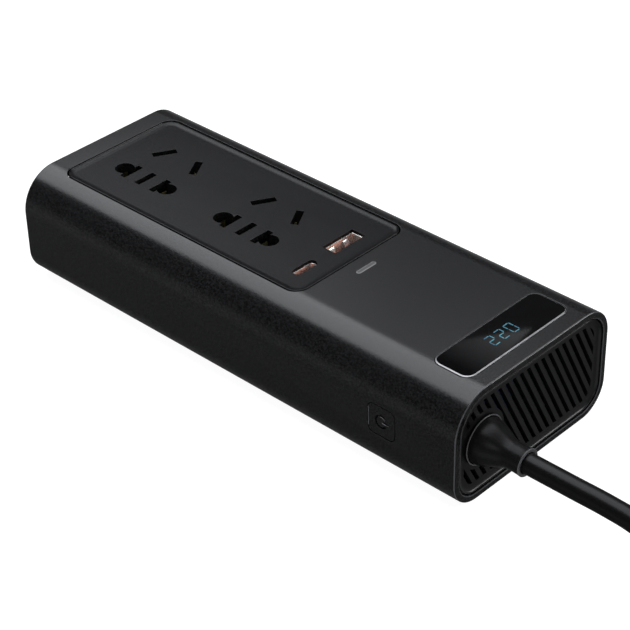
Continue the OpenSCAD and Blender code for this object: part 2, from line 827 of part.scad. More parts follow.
module plug_fuse() color("#cfd8dc")
  bar_x(plug_x + tip_back - fuse_l, plug_x + tip_back, 3.15, plug_y, plug_z);

// Coil spring behind the fuse, drawn as short as the tip's travel makes it
module tip_spring() color("silver") {
  start = boot_l + 4 + spring_wire_r;
  end = tip_back - fuse_l - tip_travel - spring_wire_r - 0.1;
  steps = spring_turns * 12;
  sweep(
    [for (i = [0:steps])
      let(a = 360 * spring_turns * i / steps)
      [plug_x + start + (end - start) * i / steps, plug_y + spring_r * cos(a), plug_z + spring_r * sin(a)]],
    spring_wire_r, 6, [1, 0, 0]
  );
}

// Bowed strip that presses on one side of the vehicle's socket; side is 0 for +Y and 1 for -Y
module side_contact(side) color("silver") side_place(side) {
  bow_r = 30;
  strip_t = 0.5;
  centre = barrel_r + side_travel - bow_r;
  along_z(-2.2, 2.2) translate([grip_x1 + 16, 0]) intersection() {
    difference() {
      translate([0, centre]) circle(bow_r, $fn = 128);
      translate([0, centre]) circle(bow_r - strip_t, $fn = 128);
    }
    translate([-10.5, 0]) square([21, 20]);
  }
}

housing();
front_grille();
rear_grille();
socket_panel();
socket_base(outlets[0]);  // socket_base_a
socket_base(outlets[1]);  // socket_base_b
pole_contact(outlets[0], -1);  // left_contact_a
pole_contact(outlets[0], 1);  // right_contact_a
earth_contact(outlets[0]);  // earth_contact_a
pole_contact(outlets[1], -1);  // left_contact_b
pole_contact(outlets[1], 1);  // right_contact_b
earth_contact(outlets[1]);  // earth_contact_b
usb_a_shell();
usb_a_tongue();
usb_c_shell();
usb_c_tongue();
usb_board();
indicator_lens();
indicator_led();
display_trim();
display_window();
display_digits();
display_board();
power_button();
switch_plunger();
tact_switch();
switch_board();
main_board();
transformer_core();
transformer_bobbin();
transformer_winding();
choke_core();
choke_winding();
electrolytic_capacitors();
filter_capacitor();
heat_sink_a();
heat_sink_b();
power_transistors();
control_chip();
fan_frame();
fan_rotor();
fan_screws();
board_screws();
base_screws();
rubber_feet();
strain_relief();
positive_lead();
negative_lead();
cord_case_side();
cord_coil();
cord_plug_side();
cord_tie();
plug_boot();
plug_shell();
plug_nose();
plug_tip();
plug_fuse();
tip_spring();
side_contact(0);  // side_contact_a
side_contact(1);  // side_contact_b
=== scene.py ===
import json
import math

import bmesh
import bpy
from mathutils import Matrix, Vector


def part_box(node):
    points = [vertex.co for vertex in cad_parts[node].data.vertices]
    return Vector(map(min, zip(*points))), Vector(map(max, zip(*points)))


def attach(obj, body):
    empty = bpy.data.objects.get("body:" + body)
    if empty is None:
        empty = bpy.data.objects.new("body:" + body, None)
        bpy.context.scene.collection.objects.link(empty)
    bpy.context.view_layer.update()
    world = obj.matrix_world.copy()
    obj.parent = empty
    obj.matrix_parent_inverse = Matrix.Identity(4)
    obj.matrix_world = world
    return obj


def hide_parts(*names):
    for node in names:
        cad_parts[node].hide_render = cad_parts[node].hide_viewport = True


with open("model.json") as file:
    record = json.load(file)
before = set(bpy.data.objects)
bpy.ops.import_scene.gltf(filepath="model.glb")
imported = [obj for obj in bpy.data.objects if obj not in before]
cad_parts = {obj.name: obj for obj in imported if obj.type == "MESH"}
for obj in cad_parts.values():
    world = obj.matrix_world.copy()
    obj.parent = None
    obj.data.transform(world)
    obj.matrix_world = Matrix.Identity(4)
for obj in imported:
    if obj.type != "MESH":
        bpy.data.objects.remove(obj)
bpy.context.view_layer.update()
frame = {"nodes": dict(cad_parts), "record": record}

MM = 0.001


def box_mm(node):
    """Lowest and highest corner of a CAD node, in mm to a hundredth."""
    return [tuple(round(c / MM, 2) for c in corner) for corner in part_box(node)]


def middle(node):
    """Middle of a CAD node's box, in mm to a hundredth."""
    low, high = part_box(node)
    return tuple(round((a + b) / 2 / MM, 2) for a, b in zip(low, high))


# ---------------------------------------------------------------- camera

# place in metres, angles in radians, lens and sensor in mm
CAMERA_AT = (0.33876, -0.34354, 0.34259)
CAMERA_YAW, CAMERA_PITCH, CAMERA_ROLL = 2.34160, 0.60602, -0.02448
CAMERA_LENS, CAMERA_SENSOR = 114.15, 36


def make_camera():
    cy, sy = math.cos(CAMERA_YAW), math.sin(CAMERA_YAW)
    cp, sp = math.cos(CAMERA_PITCH), math.sin(CAMERA_PITCH)
    cr, sr = math.cos(CAMERA_ROLL), math.sin(CAMERA_ROLL)
    forward = Vector((cy * cp, sy * cp, -sp))
    level = Vector((sy, -cy, 0))
    above = level.cross(forward)
    right = cr * level + sr * above
    up = cr * above - sr * level
    data = bpy.data.cameras.new("camera")
    data.lens = CAMERA_LENS
    data.sensor_width = CAMERA_SENSOR
    data.clip_start, data.clip_end = 0.01, 100
    camera = bpy.data.objects.new("camera", data)
    bpy.context.scene.collection.objects.link(camera)
    turn = Matrix((right, up, -forward)).transposed().to_4x4()
    camera.matrix_world = Matrix.Translation(CAMERA_AT) @ turn
    bpy.context.scene.camera = camera


make_camera()

# ---------------------------------------------------------------- materials

# scales of the broad patches in plastic and metal, of the changes in gloss, and of fine scratches, per metre
CLOUD_SCALE, STAIN_SCALE, GLOSS_SCALE, SCRATCH_SCALE = 30, 300, 2500, 3000


class Nodes:
    """A material's node tree, with short calls to add to it."""

    def __init__(self, name):
        self.material = bpy.data.materials.new(name)
        self.material.use_nodes = True
        self.tree = self.material.node_tree
        self.shader = self.tree.nodes["Principled BSDF"]
        self.place = self.add("ShaderNodeTexCoord").outputs["Object"]

    def add(self, kind, **settings):
        node = self.tree.nodes.new(kind)
        for key, value in settings.items():
            setattr(node, key, value)
        return node

    def link(self, source, target):
        self.tree.links.new(source, target)

    def set(self, **numbers):
        """Sets the shader's own sockets; an underscore stands for the space in a socket's name."""
        for key, value in numbers.items():
            self.shader.inputs[key.replace("_", " ")].default_value = value

    def noise(self, scale, detail=2.0, stretch=None):
        node = self.add("ShaderNodeTexNoise")
        node.inputs["Scale"].default_value = scale
        node.inputs["Detail"].default_value = detail
        source = self.place
        if stretch:
            mapping = self.add("ShaderNodeMapping")
            mapping.inputs["Scale"].default_value = stretch
            self.link(source, mapping.inputs["Vector"])
            source = mapping.outputs["Vector"]
        self.link(source, node.inputs["Vector"])
        return node.outputs["Fac"]

    def spread(self, value, low, high, start=0.35, end=0.65):
        """Maps a value from start..end, where most of a noise lies, to low..high."""
        node = self.add("ShaderNodeMapRange")
        for key, number in (("From Min", start), ("From Max", end), ("To Min", low), ("To Max", high)):
            node.inputs[key].default_value = number
        self.link(value, node.inputs["Value"])
        return node.outputs["Result"]

    def mix(self, factor, a, b):
        """Mixes two colours; each is a tuple or a socket."""
        node = self.add("ShaderNodeMix", data_type="RGBA")
        for key, value in (("Factor_Float", factor), ("A_Color", a), ("B_Color", b)):
            socket = next(s for s in node.inputs if s.identifier == key)
            if isinstance(value, tuple):
                socket.default_value = (*value, 1.0)
            else:
                self.link(value, socket)
        return next(s for s in node.outputs if s.identifier == "Result_Color")

    def bump(self, height, depth):
        """Turns a height from 0 to 1 into relief of that depth in mm."""
        node = self.add("ShaderNodeBump")
        node.inputs["Strength"].default_value = 1.0
        node.inputs["Distance"].default_value = depth * MM
        self.link(height, node.inputs["Height"])
        self.link(node.outputs["Normal"], self.shader.inputs["Normal"])

    def worn_edge(self, low=0.515, high=0.56):
        """1 on raised edges, 0 elsewhere, for painting highlights onto edges."""
        geometry = self.add("ShaderNodeNewGeometry")
        return self.spread(geometry.outputs["Pointiness"], 0.0, 1.0, low, high)


def tint(colour, factor):
    return tuple(min(1.0, c * factor) for c in colour)


def plastic(name, colour, roughness, grain, depth, specular=0.5, coat=0.0, wear=0.35, speck=0.25, rubbed=7):
    """Moulded plastic or rubber. Grain is the texture's size in mm and depth its height in mm. Speck is how
    far the grain's tone varies. The setting after coat is how far raised edges are painted paler, a painted
    highlight, and the last how many times lighter than its colour the piece is painted on its marked faces."""
    n = Nodes(name)
    fine = n.noise(1 / (grain * MM))
    specks = n.mix(n.spread(fine, 0.0, 1.0), tint(colour, 1 - speck), tint(colour, 1 + speck))
    tone = n.mix(n.spread(n.noise(CLOUD_SCALE), 0.0, 0.2), specks, tint(colour, 0.85))
    # painted highlight: raised edges are painted up to 2.2 times paler
    edge_highlight_share = n.add("ShaderNodeMath", operation="MULTIPLY")
    n.link(n.worn_edge(), edge_highlight_share.inputs[0])
    edge_highlight_share.inputs[1].default_value = wear
    body = n.mix(edge_highlight_share.outputs[0], tone, tint(colour, 2.2))
    # painted highlight: the faces a piece marks are painted many times lighter
    edge = n.add("ShaderNodeAttribute", attribute_name="edge").outputs["Fac"]
    n.link(n.mix(edge, body, tint(colour, rubbed)), n.shader.inputs["Base Color"])
    gloss = n.spread(n.noise(GLOSS_SCALE), roughness - 0.015, roughness + 0.015)
    n.link(gloss, n.shader.inputs["Roughness"])
    n.bump(fine, depth)
    n.set(Specular_IOR_Level=specular, Coat_Weight=coat, Coat_Roughness=0.08)
    return n.material


def metal(name, colour, roughness, brushed=(1, 1, 1), depth=0.004, metallic=1.0):
    """Plated or drawn metal. Brushed is the stretch of its fine lines and depth their height in mm."""
    n = Nodes(name)
    lines = n.noise(SCRATCH_SCALE, stretch=brushed)
    stains = n.spread(n.noise(STAIN_SCALE, 3.0), 0.0, 1.0)
    n.link(n.mix(stains, tint(colour, 0.85), tint(colour, 1.08)), n.shader.inputs["Base Color"])
    n.link(n.spread(lines, roughness * 0.8, roughness * 1.3), n.shader.inputs["Roughness"])
    n.bump(lines, depth)
    n.set(Metallic=metallic)
    return n.material


def circuit_board(name):
    """Green solder mask with faint tracks below it."""
    n = Nodes(name)
    cells = n.add("ShaderNodeTexBrick")
    cells.inputs["Scale"].default_value = 220
    cells.inputs["Mortar Size"].default_value = 0.06
    n.link(n.place, cells.inputs["Vector"])
    mask = n.mix(n.spread(n.noise(500), 0.0, 1.0), (0.008, 0.07, 0.03), (0.012, 0.1, 0.045))
    n.link(n.mix(cells.outputs["Fac"], mask, (0.03, 0.17, 0.07)), n.shader.inputs["Base Color"])
    n.bump(cells.outputs["Fac"], 0.03)
    n.link(n.spread(n.noise(900), 0.3, 0.45), n.shader.inputs["Roughness"])
    return n.material


def wound_wire(name):
    """Enamelled copper laid in close turns."""
    n = Nodes(name)
    wave = n.add("ShaderNodeTexWave", bands_direction="Z")
    wave.inputs["Scale"].default_value = 500
    wave.inputs["Distortion"].default_value = 1.0
    n.link(n.place, wave.inputs["Vector"])
    turns = wave.outputs["Fac"]
    n.link(n.mix(turns, (0.18, 0.06, 0.02), (0.55, 0.22, 0.08)), n.shader.inputs["Base Color"])
    n.bump(turns, 0.15)
    n.link(n.spread(n.noise(900), 0.28, 0.4), n.shader.inputs["Roughness"])
    n.set(Metallic=0.8)
    return n.material


def lit_figures(name):
    """Cyan light behind dark plastic."""
    n = Nodes(name)
    glow = n.mix(n.spread(n.noise(700), 0.0, 1.0), (0.01, 0.1, 0.2), (0.08, 0.36, 0.45))
    n.link(glow, n.shader.inputs["Emission Color"])
    n.set(Base_Color=(0.01, 0.02, 0.025, 1), Emission_Strength=0.8, Roughness=0.35)
    return n.material


def fuse_glass(name):
    n = Nodes(name)
    n.link(n.spread(n.noise(700), 0.04, 0.12), n.shader.inputs["Roughness"])
    n.set(Base_Color=(0.85, 0.9, 0.92, 1), Transmission_Weight=0.8)
    return n.material


BLACK = (0.006, 0.0061, 0.0065)
LOOKS = {}


def look(slot, make, *settings, **more):
    """Makes the material of one of the record's slots."""
    LOOKS[slot] = make(slot, *settings, **more)


# plastic colours carry painted highlights: raised edges paler, and marked faces many times lighter
look("shell_plastic", plastic, BLACK, 0.23, grain=0.6, depth=0.016, specular=0.42, speck=1.0, rubbed=9)
look("grille_plastic", plastic, tint(BLACK, 0.85), 0.34, grain=0.45, depth=0.012, specular=0.36)
look("panel_plastic", plastic, BLACK, 0.23, grain=0.6, depth=0.016, specular=0.18, speck=1.0)
look("button_plastic", plastic, BLACK, 0.26, grain=0.6, depth=0.02, specular=0.38, speck=1.0, rubbed=40)
look("socket_plastic", plastic, (0.01, 0.01, 0.011), 0.5, grain=0.5, depth=0.01, specular=0.3)
look("ivory_plastic", plastic, (0.55, 0.5, 0.42), 0.45, grain=0.5, depth=0.01, wear=0.0)
look("contact_brass", metal, (0.34, 0.31, 0.14), 0.4, metallic=0.5)
look("port_steel", metal, (0.72, 0.7, 0.68), 0.24, metallic=0.75)
look("port_plastic", plastic, (0.62, 0.2, 0.12), 0.4, grain=0.4, depth=0.005, wear=0.2)
look("circuit_board", circuit_board)
look("lamp_lens", plastic, (0.055, 0.055, 0.056), 0.35, grain=0.3, depth=0.004, wear=0.1, rubbed=4)
look("trim_chrome", metal, (0.24, 0.24, 0.245), 0.34, depth=0.0002)
look("display_black", plastic, (0.0016, 0.0016, 0.0018), 0.03, grain=3.0, depth=0.0002, specular=0.32,
     wear=0.0)
look("display_light", lit_figures)
look("dark_epoxy", plastic, (0.015, 0.015, 0.016), 0.55, grain=0.3, depth=0.01)
look("ferrite", plastic, (0.03, 0.03, 0.032), 0.6, grain=0.25, depth=0.03)
look("copper_wire", wound_wire)
look("capacitor_can", plastic, (0.03, 0.06, 0.16), 0.35, grain=2.0, depth=0.01, coat=0.3)
look("film_capacitor", plastic, (0.5, 0.38, 0.06), 0.4, grain=0.6, depth=0.01)
look("sink_aluminium", metal, (0.6, 0.6, 0.62), 0.35, brushed=(1, 1, 0.05))
look("fan_plastic", plastic, (0.012, 0.012, 0.013), 0.4, grain=0.5, depth=0.005)
look("screw_steel", metal, (0.55, 0.55, 0.56), 0.3)
look("foot_rubber", plastic, (0.014, 0.014, 0.014), 0.75, grain=0.3, depth=0.02, specular=0.3)
look("cord_rubber", plastic, (0.0035, 0.0035, 0.0037), 0.31, grain=0.45, depth=0.012, specular=0.2)
look("relief_rubber", plastic, (0.006, 0.006, 0.0063), 0.3, grain=0.45, depth=0.01, specular=0.15, rubbed=14)
look("red_wire", plastic, (0.3, 0.015, 0.012), 0.4, grain=0.8, depth=0.005)
look("black_wire", plastic, (0.012, 0.012, 0.012), 0.4, grain=0.8, depth=0.005)
look("tie_rubber", plastic, (0.02, 0.02, 0.021), 0.7, grain=0.25, depth=0.03, specular=0.3)
look("plug_plastic", plastic, (0.013, 0.013, 0.014), 0.4, grain=0.4, depth=0.015, specular=0.42)
look("tip_brass", metal, (0.75, 0.6, 0.32), 0.22)
look("fuse_glass", fuse_glass)

# ---------------------------------------------------------------- mesh helpers, in mm


def arc(centre, radius, start, end, steps):
    """Points on an arc, both ends included; angles in degrees."""
    angles = [math.radians(start + (end - start) * i / steps) for i in range(steps + 1)]
    return [(centre[0] + radius * math.cos(a), centre[1] + radius * math.sin(a)) for a in angles]


def rounded(width, height, radius, centre=(0, 0), steps=8):
    """Rectangle with round corners."""
    x, y = width / 2 - radius, height / 2 - radius
    corners = ((x, -y, -90), (x, y, 0), (-x, y, 90), (-x, -y, 180))
    return [p for cx, cy, a in corners
            for p in arc((centre[0] + cx, centre[1] + cy), radius, a, a + 90, steps)]


def grown(at, size, radius, margin):
    """Rounded rectangle that is larger by the margin all round."""
    return rounded(size[0] + 2 * margin, size[1] + 2 * margin, max(radius + margin, 0.2), at, 12)


def circle(radius, centre, steps=48):
    return arc(centre, radius, 0, 360, steps)[:-1]


def turned(points, degrees, centre):
    """Outline turned about 0, 0 and then moved to centre."""
    c, s = math.cos(math.radians(degrees)), math.sin(math.radians(degrees))
    return [(centre[0] + c * x - s * y, centre[1] + s * x + c * y) for x, y in points]


def upright(outline, z):
    return [(x, y, z) for x, y in outline]


def fillet(inset, width, top, bottom, steps=8):
    """Hollow quarter curve as (inset, level): steep at the top, flat at the bottom."""
    turns = [math.pi / 2 * i / steps for i in range(steps + 1)]
    return [(inset + width * (1 - math.cos(t)), top - (top - bottom) * math.sin(t)) for t in turns]


def loft(loops, closed=False):
    """Skin over loops of equal length, with flat ends unless it closes on itself."""
    bm = bmesh.new()
    rows = [[bm.verts.new(Vector(p) * MM) for p in loop] for loop in loops]
    count = len(loops[0])
    for a, b in zip(rows, rows[1:] + rows[:1] if closed else rows[1:]):
        for i in range(count):
            j = (i + 1) % count
            bm.faces.new((a[i], a[j], b[j], b[i]))
    if not closed:
        bm.faces.new(rows[0][::-1])
        bm.faces.new(rows[-1])
    bmesh.ops.recalc_face_normals(bm, faces=bm.faces)
    return bm


def prism(outline, low, high, axis="z"):
    """Flat outline drawn out along an axis. Along y it is given as x and z, along x as y and z."""
    lay = {
        "x": lambda u, v, w: (w, u, v),
        "y": lambda u, v, w: (u, w, v),
        "z": lambda u, v, w: (u, v, w),
    }[axis]
    return loft([[lay(u, v, w) for u, v in outline] for w in (low, high)])


def lathe(profile, centre, axis="x", steps=64):
    """Profile of (radius, distance) turned about an axis through centre. A radius of 0 closes an end."""
    loops = []
    for radius, distance in profile:
        loop = []
        for k in range(steps):
            a = 2 * math.pi * k / steps
            r = max(radius, 0.001)
            u, v = r * math.cos(a), r * math.sin(a)
            local = (distance, u, v) if axis == "x" else (u, v, distance)
            loop.append(tuple(c + d for c, d in zip(centre, local)))
        loops.append(loop)
    return loft(loops)


def lathe_ring(profile, centre, steps=96):
    """Closed profile of (radius, distance), clear of the axis, turned about the x line through centre."""
    x, y, z = centre
    angles = [2 * math.pi * k / steps for k in range(steps)]
    loops = [[(x + d, y + r * math.cos(a), z + r * math.sin(a)) for r, d in profile] for a in angles]
    return loft(loops, closed=True)


def joined(*parts):
    whole = bmesh.new()
    for part in parts:
        mesh = bpy.data.meshes.new("part")
        part.to_mesh(mesh)
        part.free()
        whole.from_mesh(mesh)
        bpy.data.meshes.remove(mesh)
    return whole


def to_object(name, bm):
    mesh = bpy.data.meshes.new(name)
    bm.to_mesh(mesh)
    bm.free()
    obj = bpy.data.objects.new(name, mesh)
    bpy.context.scene.collection.objects.link(obj)
    return obj


def boolean(bm, tool, operation):
    """Exact boolean of two closed meshes."""
    base, cutter = to_object("base", bm), to_object("cutter", tool)
    step = base.modifiers.new("cut", "BOOLEAN")
    step.object, step.operation, step.solver = cutter, operation, "EXACT"
    shape = bpy.data.meshes.new_from_object(base.evaluated_get(bpy.context.evaluated_depsgraph_get()))
    result = bmesh.new()
    result.from_mesh(shape)
    for obj in (base, cutter):
        mesh = obj.data
        bpy.data.objects.remove(obj)
        bpy.data.meshes.remove(mesh)
    bpy.data.meshes.remove(shape)
    bmesh.ops.remove_doubles(result, verts=result.verts, dist=0.002 * MM)
    return result


def cut(bm, tool):
    return boolean(bm, tool, "DIFFERENCE")


def soften(bm, width, where, angle=40):
    """Rounds the edges sharper than the angle whose middle, in mm, passes the test."""
    edges = [
        e for e in bm.edges
        if len(e.link_faces) == 2 and e.calc_face_angle(0) > math.radians(angle)
        and where((e.verts[0].co + e.verts[1].co) / 2 / MM)
    ]
    bmesh.ops.bevel(bm, geom=edges, offset=width * MM, offset_type="OFFSET", segments=2,
                    profile=0.5, affect="EDGES", clamp_overlap=False)
    return bm


def piece(name, bm, slot, nodes, body="case", angle=32, edge=None):
    """Turns a mesh into a shown piece that stands for CAD nodes. The optional face test takes a face's
    centre, in mm, and normal, and picks the faces whose colour is painted lighter as a highlight."""
    bmesh.ops.recalc_face_normals(bm, faces=bm.faces)
    obj = to_object(name, bm)
    mesh = obj.data
    if edge:
        # marks the faces whose colour gets a painted highlight
        mark = mesh.attributes.new("edge", "FLOAT", "FACE")
        mark.data.foreach_set("value", [float(edge(f.center / MM, f.normal)) for f in mesh.polygons])
    mesh.shade_smooth()
    mesh.set_sharp_from_angle(angle=math.radians(angle))
    mesh.materials.append(LOOKS[slot])
    shading = obj.modifiers.new("shading", "WEIGHTED_NORMAL")
    shading.keep_sharp = True
    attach(obj, body)
    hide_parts(*nodes)
    return obj


# ---------------------------------------------------------------- lead

CORD_D = 6.0
COIL_AT = middle("cord_coil")[:2]
LOW_Z = 3.1
OUTER_TURN_R = 33
TURN_PITCH, TOP_TURN_PITCH = 6, 6.02
TIE_ANGLE, TIE_LIFT = 90, 0.5
HUMP = 0.85
COIL_START, COIL_TURNS, COIL_STEP = -90, 3, 15
# where in the coil the lead changes its lay and how far it takes, in degrees
STEP_IN, CLIMB, HUMP_UP, HUMP_DOWN = (210, 60), (500, 70), (567, 22), (612, 25)
CASE_ROUTE = [
    (95.4, -20, 18.3), (105, -20, 18.3), (115, -20, 18.3), (125, -20, 18.3), (134, -20.2, 17.8),
    (143, -21, 16.1), (151.5, -22.5, 13.3), (160, -24.6, 9.8), (168, -26.8, 6.5), (176, -28.6, 4.3),
    (184, -29.8, 3.3),
]
PLUG_ROUTE = [
    (202, -27, 8.8), (209, -27, 9.9), (216, -27, 11.0), (222, -27, 11.75), (228, -27, 12), (231, -27, 12),
]


def ease(t):
    t = min(1.0, max(0.0, t))
    return t * t * (3 - 2 * t)


def along(angle, change):
    """How far a change of lay, given as its start and its length in degrees, has come at that angle."""
    start, length = change
    return ease((angle - start) / length)


def coil_point(angle):
    """Place on the coil after a turn of that angle: a turn outside, one inside it, and one on top."""
    height = LOW_Z
    if angle < CLIMB[0]:
        radius = OUTER_TURN_R - TURN_PITCH * along(angle, STEP_IN)
    else:
        climb = math.radians(60) * along(angle, CLIMB)
        radius = OUTER_TURN_R - TOP_TURN_PITCH * math.cos(climb)
        hump = HUMP * (along(angle, HUMP_UP) - along(angle, HUMP_DOWN))
        height += TOP_TURN_PITCH * math.sin(climb) + hump
    from_tie = abs((angle - TIE_ANGLE + 180) % 360 - 180)
    height += TIE_LIFT * ease(1.4 - from_tie / 30)
    a = math.radians(angle)
    return (COIL_AT[0] + radius * math.cos(a), COIL_AT[1] + radius * math.sin(a), height)


def make_lead():
    coil_end = COIL_START + 360 * COIL_TURNS
    coil = [coil_point(angle) for angle in range(COIL_START, coil_end + 1, COIL_STEP)]
    route = [Vector(p) * MM for p in CASE_ROUTE + coil + PLUG_ROUTE]
    data = bpy.data.curves.new("lead", "CURVE")
    data.dimensions = "3D"
    data.bevel_depth = CORD_D / 2 * MM
    data.bevel_resolution = 8
    data.resolution_u = 6
    data.use_fill_caps = True
    spline = data.splines.new("BEZIER")
    spline.bezier_points.add(len(route) - 1)
    for knot, place in zip(spline.bezier_points, route):
        knot.co = place
        knot.handle_left_type = knot.handle_right_type = "AUTO"
    lead = bpy.data.objects.new("lead", data)
    bpy.context.scene.collection.objects.link(lead)
    data.materials.append(LOOKS["cord_rubber"])
    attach(lead, "case")
    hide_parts("cord_case_side", "cord_coil", "cord_plug_side")
    length = sum((b - a).length for a, b in zip(route, route[1:]))
    return lead, length


lead, lead_length = make_lead()

# ---------------------------------------------------------------- case

(_, _, FOOT_H), (HALF_L, HALF_W, CASE_TOP) = box_mm("housing")
NEAR_R, FAR_R, LOW_R = 12.5, 10.2, 9.4
WALL = 2.0
MID_Z = (FOOT_H + CASE_TOP) / 2
PANEL_AT, PANEL_SIZE, PANEL_R = middle("socket_panel")[:2], (98.9, 45.4), 4.5
DISPLAY_AT, DISPLAY_SIZE, DISPLAY_R = middle("display_trim")[:2], (13.0, 43.2), 3.1
LAMP_AT, LAMP_SIZE, LAMP_R = middle("indicator_lens")[:2], (1.5, 7.6), 0.75
BUTTON_AT, BUTTON_SIZE, BUTTON_R = (middle("power_button")[0], MID_Z), (9.4, 9.4), 1.9
EXIT_Y = middle("strain_relief")[1]
OUTLETS, OUTLET_Y = (-57.55, -14.95), 3.25
USB_A, USB_C = middle("usb_a_shell")[:2], middle("usb_c_shell")[:2]
# openings in the top are cut from under its wall to clear above the case
UNDER_TOP, ABOVE = 31, 40


def case_outline(inset):
    """Cross-section of the case in y and z, counter-clockwise from its lower +Y corner."""
    low_y, low_z = HALF_W - LOW_R, FOOT_H + LOW_R
    corners = (
        (low_y, low_z, LOW_R, -90),
        (HALF_W - FAR_R, CASE_TOP - FAR_R, FAR_R, 0),
        (NEAR_R - HALF_W, CASE_TOP - NEAR_R, NEAR_R, 90),
        (-low_y, low_z, LOW_R, 180),
    )
    return [p for y, z, r, a in corners for p in arc((y, z), r - inset, a, a + 90, 20)]


def case_loop(x, inset):
    return [(x, y, z) for y, z in case_outline(inset)]


def roof(y):
    """Height of the case's outer surface above that y."""
    radius = FAR_R if y > 0 else NEAR_R
    over = max(0.0, abs(y) - (HALF_W - radius))
    return CASE_TOP - radius + math.sqrt(radius ** 2 - over ** 2)


def make_shell():
    # distance from the end and inset from the outside, from the inner wall round to the outer one
    mouth = [(0.25, 2.0), (0.07, 1.93), (0.0, 1.75), (0.0, 1.6), (0.0, 0.5), (0.0, 0.38), (0.06, 0.17),
             (0.17, 0.06), (0.38, 0.0), (0.6, 0.0)]
    left = [(-HALF_L + x, inset) for x, inset in mouth]
    right = [(HALF_L - x, inset) for x, inset in reversed(mouth)]
    shell = loft([case_loop(x, inset) for x, inset in left + right], closed=True)
    openings = joined(
        prism(grown(PANEL_AT, PANEL_SIZE, PANEL_R, 0), UNDER_TOP, ABOVE),
        prism(grown(DISPLAY_AT, DISPLAY_SIZE, DISPLAY_R, 0.1), CASE_TOP - 1.2, ABOVE),
        prism(grown(LAMP_AT, LAMP_SIZE, LAMP_R, 0.08), UNDER_TOP, ABOVE),
        prism(grown(BUTTON_AT, BUTTON_SIZE, BUTTON_R, 0.2), -ABOVE, -HALF_W + WALL + 1, "y"),
    )
    shell = cut(shell, openings)
    shell = soften(shell, 0.16, lambda m: abs(m.x) < HALF_L - 1 and (m.z > CASE_TOP - 0.8
                                                                     or m.y < -HALF_W + 0.1))

    def rubbed(at, normal):
        """The round edges of the two mouths, and those of the openings in the flat top, which get a painted
        highlight.
        """
        if abs(at.x) > HALF_L - 0.6:
            return 0.15 < abs(normal.x) < 0.96
        return 0.1 < abs(normal.z) < 0.92 and abs(at.y) < HALF_W - NEAR_R

    piece("shell", shell, "shell_plastic", ["housing"], edge=rubbed)


def make_feet():
    profile = [(0, 1.2), (4.5, 1.2), (4.5, 0.25), (4.42, 0.08), (4.25, 0.0), (0, 0.0)]
    foot_x, foot_y = 70, 17
    feet = [lathe(profile, (sx * foot_x, sy * foot_y, 0), "z", 48) for sx in (-1, 1) for sy in (-1, 1)]
    piece("feet", joined(*feet), "foot_rubber", ["rubber_feet"])


def grille_slots(pads):
    """Slanted slots inside the border, left out round each (y, z, radius) pad."""
    lean, pitch, width, length = 27.5, 3.0, 1.2, 80
    middle_y, each_way = 2, 16
    border = WALL + 3
    start, end, pad_start, pad_end = 81, 89, 70, 95
    slot = rounded(width, length, 0.05, steps=1)
    slots = [
        prism(turned(slot, lean, (middle_y + i * pitch, MID_Z)), start - 1, end + 1, "x")
        for i in range(-each_way, each_way)
    ]
    field = prism(case_outline(border), start, end, "x")
    for y, z, radius in pads:
        field = cut(field, prism(circle(radius, (y, z)), pad_start, pad_end, "x"))
    return boolean(field, joined(*slots), "INTERSECT")


def make_grille(name, node, pads, mirrored):
    """Slotted plate with a raised lip, made for the +X end and mirrored for the other one."""
    face_x, lip_x, back_x = 84.35, 85.1, 82.7
    back_inset, lip_inset, curve_w = 2.1, 2.75, 1.7
    profile = [(back_inset, back_x), (back_inset, lip_x - 0.9), (2.5, lip_x - 0.9), (2.55, lip_x - 0.15),
               (2.66, lip_x), (lip_inset, lip_x)]
    profile += fillet(lip_inset, curve_w, lip_x, face_x)[1:]
    plate = cut(loft([case_loop(x, inset) for inset, x in profile]), grille_slots(pads))
    plate = soften(plate, 0.1, lambda m: abs(m.x - face_x) < 0.02, angle=60)
    if mirrored:
        bmesh.ops.scale(plate, vec=(-1, 1, 1), verts=plate.verts)
        bmesh.ops.reverse_faces(plate, faces=plate.faces)
    # painted highlight: the lip's faces on the -Y side are painted lighter
    piece(name, plate, "grille_plastic", [node], edge=lambda at, normal: abs(at.x) > lip_x - 0.2 and at.y < 0)


def outlet_outlines(x):
    """Pin holes of one outlet: two leaning slots, two slots with a round lobe, and one between those."""
    lean, lean_reach, lean_size = 60, 7.92, (7.6, 2.4)
    low_y = OUTLET_Y - 10.3
    slot_x, half_w, half_h = 6.35, 1.1, 3.8
    lobe_x, lobe_r = 9.3, 3.0
    meet = math.degrees(math.asin(math.sqrt(lobe_r ** 2 - (lobe_x - slot_x - half_w) ** 2) / lobe_r))
    lobed = [(slot_x - half_w, -half_h), (slot_x + half_w, -half_h)]
    lobed += arc((lobe_x, 0), lobe_r, meet - 180, 180 - meet, 24)
    lobed += [(slot_x + half_w, half_h), (slot_x - half_w, half_h)]
    holes = []
    for side in (-1, 1):
        at = (x + side * lean_reach * math.sin(math.radians(lean)),
              OUTLET_Y + lean_reach * math.cos(math.radians(lean)))
        holes.append(turned(rounded(*lean_size, 0.15, steps=2), side * -lean, at))
        hole = [(x + side * u, low_y + v) for u, v in lobed]
        holes.append(hole if side > 0 else hole[::-1])
    holes.append(rounded(2 * half_w, 7.4, 0.15, (x, low_y), 2))
    return holes


